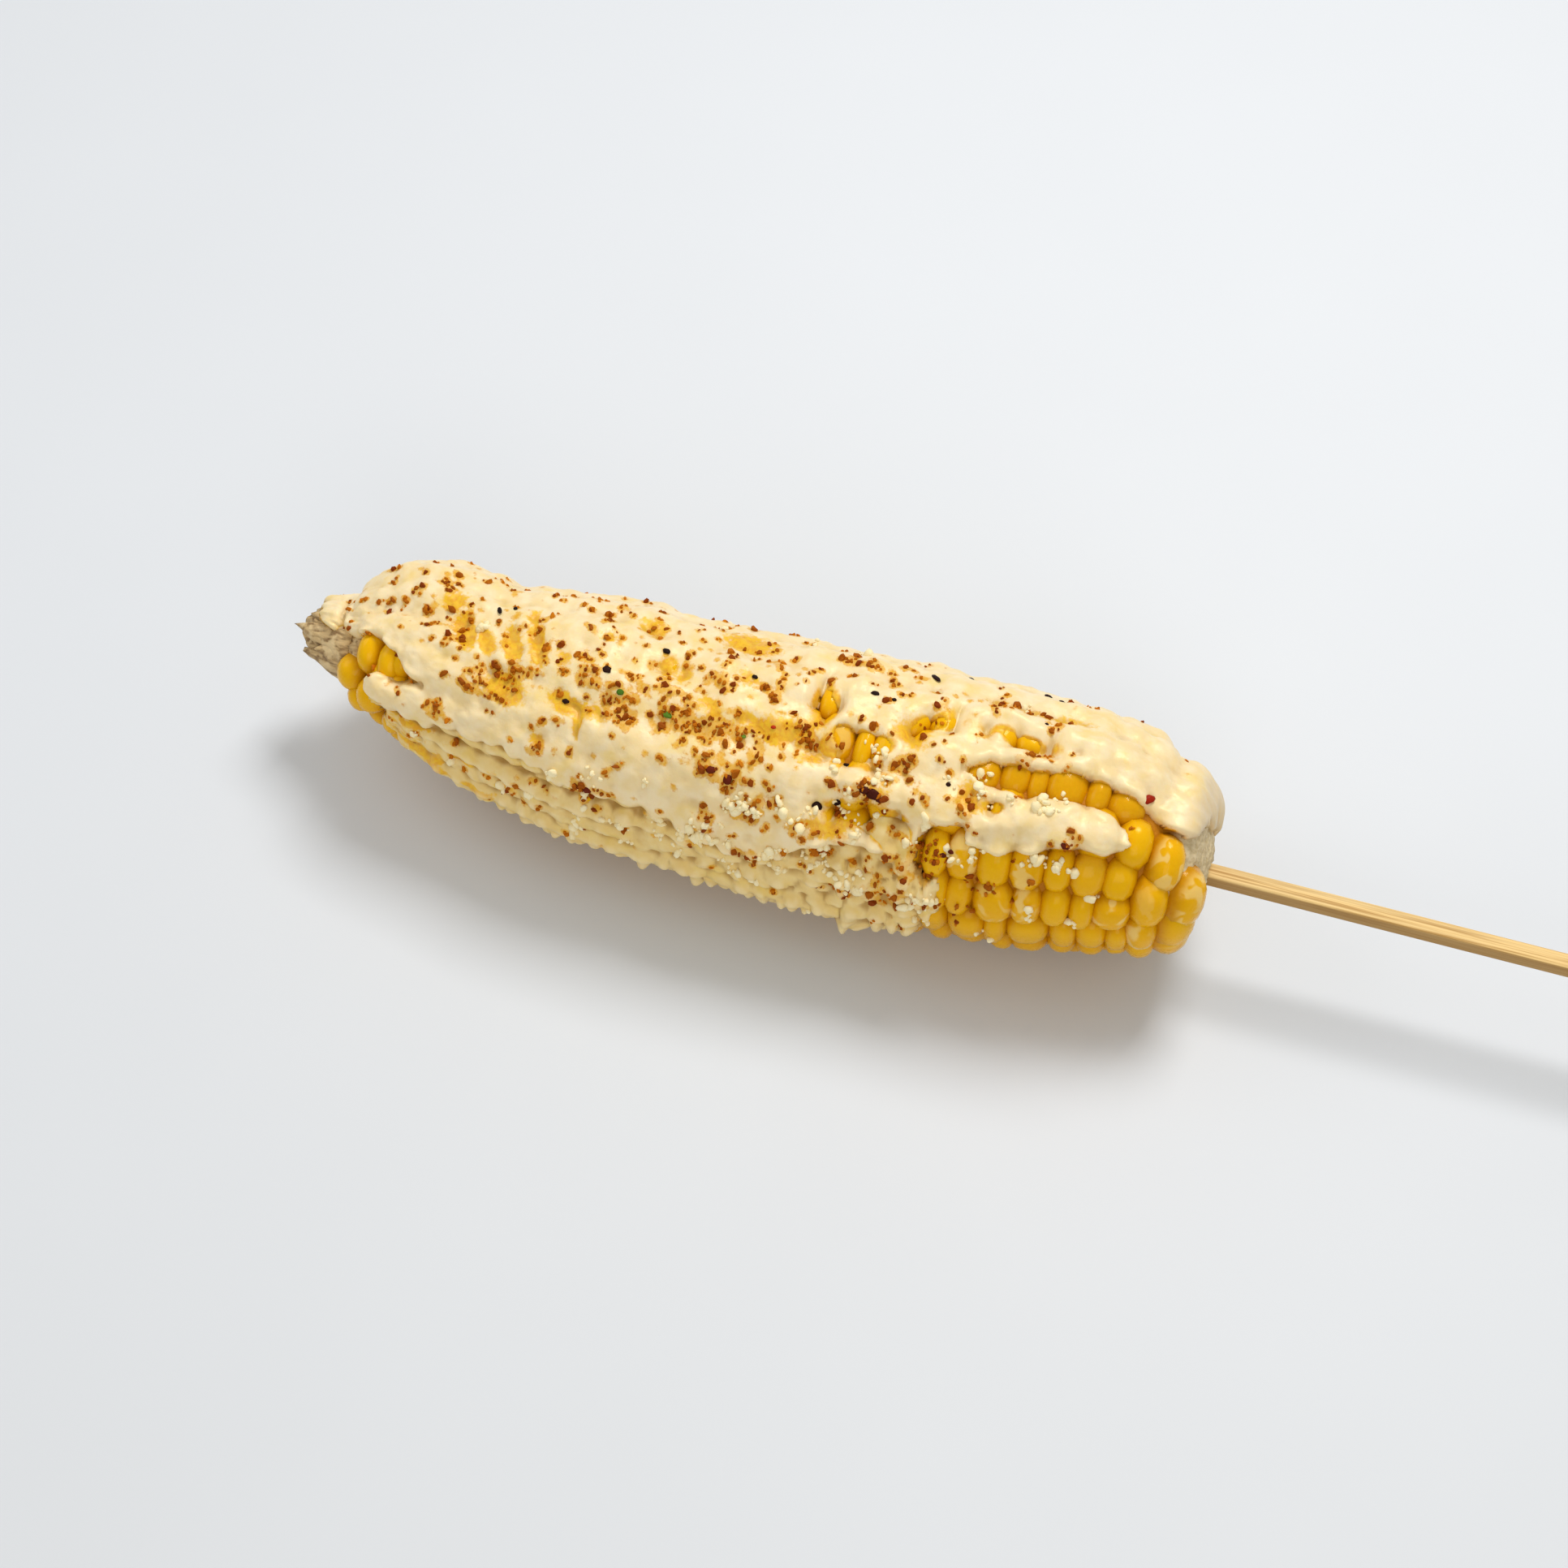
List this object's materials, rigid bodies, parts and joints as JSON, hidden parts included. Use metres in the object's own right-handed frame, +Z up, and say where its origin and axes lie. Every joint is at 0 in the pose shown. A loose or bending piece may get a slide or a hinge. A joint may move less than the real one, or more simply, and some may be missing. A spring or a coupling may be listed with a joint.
{
  "type": "elote",
  "caption": "Ear of boiled corn on a square wooden stick, coated with cream sauce, chili powder and crumbled cheese, lying on its side.",
  "frame": {"origin": "centre of the whole part's bounding box in plan, on the level surface that the ear rests on", "axes": "+X along the ear from its tip towards its butt and the stick, +Z up from the resting surface, +Y across the ear"},
  "size_m": [0.29, 0.052, 0.0491],
  "materials": {
    "kernels": "moist boiled corn kernels, golden yellow with paler patches, glossy",
    "cream": "thick ivory cream sauce, smooth and moist, stained yellow where thin",
    "cob": "grey-brown fibrous cob and husk stub, dull",
    "stick": "bare planed bamboo with fine lengthwise grain",
    "chili": "ground chili grains and flakes, dull",
    "cheese": "dry crumbled white cheese",
    "charred": "charred black specks",
    "herb": "chopped green herb"
  },
  "bodies": {
    "root": {"cob": "cob", "kernels": "kernels", "crema": "cream", "stick": "stick"}
  },
  "joints": []
}
